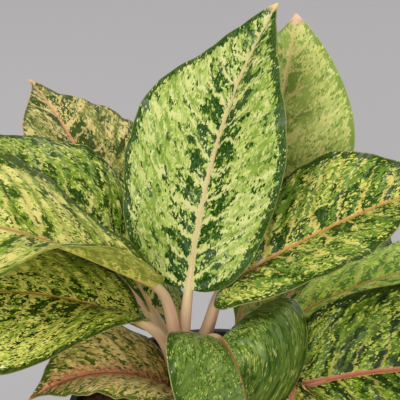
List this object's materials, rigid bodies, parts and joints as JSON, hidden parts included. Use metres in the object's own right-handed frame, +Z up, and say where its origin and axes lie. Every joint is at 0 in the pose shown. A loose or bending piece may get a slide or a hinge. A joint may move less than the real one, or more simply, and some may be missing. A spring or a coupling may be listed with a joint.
{
  "type": "potted aglaonema",
  "caption": "Leafy house plant with broad pointed mottled leaves on pale petioles, standing in a round black tapered nursery pot filled with soil.",
  "frame": {"origin": "centre of the pot's flat underside", "axes": "+Z up, along the pot's axis; -Y is the side that the picture shows, +X its right"},
  "size_m": [0.4269, 0.3608, 0.4074],
  "materials": {
    "pot": "satin",
    "soil": "matte",
    "petiole": "satin",
    "leaf_light": "satin",
    "leaf_green": "satin",
    "leaf_dark": "satin",
    "leaf_olive": "satin",
    "leaf_peach": "satin"
  },
  "bodies": {
    "root": {"pot": "pot", "soil": "soil", "shoot_left": "petiole", "shoot_right": "petiole", "shoot_back": "petiole", "leaf_centre": "leaf_light", "leaf_tall": "leaf_green", "leaf_right": "leaf_green", "leaf_back_left": "leaf_olive", "leaf_left_behind": "leaf_green", "leaf_left": "leaf_light", "leaf_left_low": "leaf_olive", "leaf_low_left": "leaf_peach", "leaf_front": "leaf_dark", "leaf_right_low": "leaf_green", "leaf_right_behind": "leaf_olive", "leaf_front_low": "leaf_peach", "leaf_back": "leaf_green", "leaf_back_right": "leaf_dark", "leaf_back_low": "leaf_green", "leaf_low_front": "leaf_olive"}
  },
  "joints": []
}
